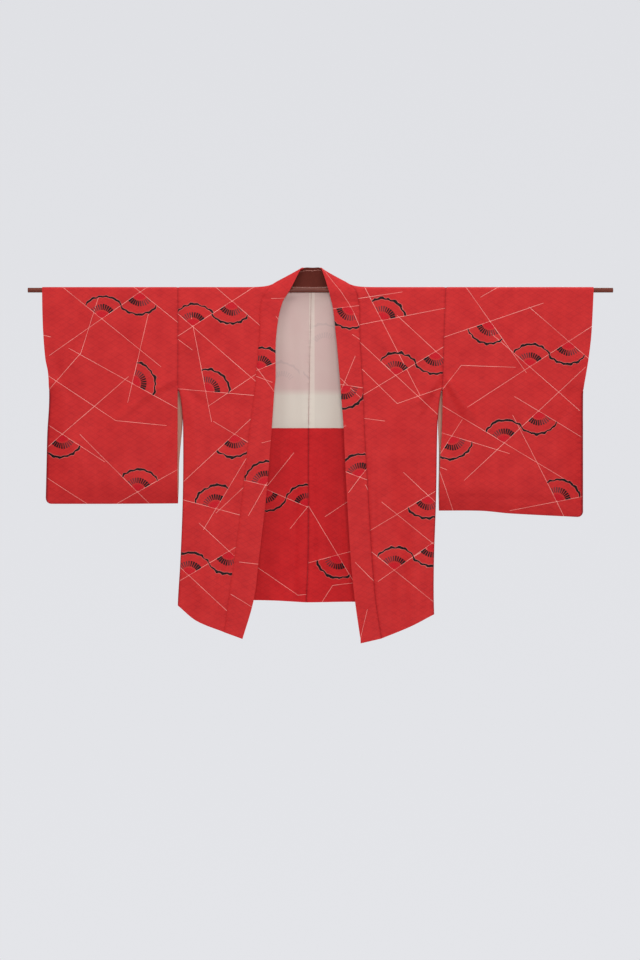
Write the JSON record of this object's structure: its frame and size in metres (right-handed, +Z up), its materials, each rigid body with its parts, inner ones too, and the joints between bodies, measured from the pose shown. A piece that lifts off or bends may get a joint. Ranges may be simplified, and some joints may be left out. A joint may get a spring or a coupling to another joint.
{
  "type": "kimono jacket on a hanging rod",
  "caption": "Wide-sleeved kimono jacket with an open front and a standing collar band, spread flat on a straight wooden rod run through its sleeves.",
  "frame": {"origin": "on the rod's axis at the middle of its length, where a wall bracket or cord would hold it", "axes": "+X along the rod to the viewer's right, -Y out of the jacket's front, +Z up"},
  "size_m": [1.34, 0.0618, 0.8596],
  "materials": {
    "red_silk": "figured silk with a soft sheen",
    "cream_lining": "thin smooth lining silk",
    "dark_facing": "plain dark cloth",
    "dark_wood": "oiled dark reddish wood"
  },
  "bodies": {
    "root": {"hanging_rod": "dark_wood", "body_panel_left": "red_silk", "body_panel_right": "red_silk", "sleeve_left": "red_silk", "sleeve_right": "red_silk", "side_gusset_left": "red_silk", "side_gusset_right": "red_silk", "collar_band": "red_silk", "collar_stand_facing": "dark_facing", "back_lining_left": "cream_lining", "back_lining_right": "cream_lining", "back_facing_left": "red_silk", "back_facing_right": "red_silk", "sleeve_lining_left": "cream_lining", "sleeve_lining_right": "cream_lining"}
  },
  "joints": []
}
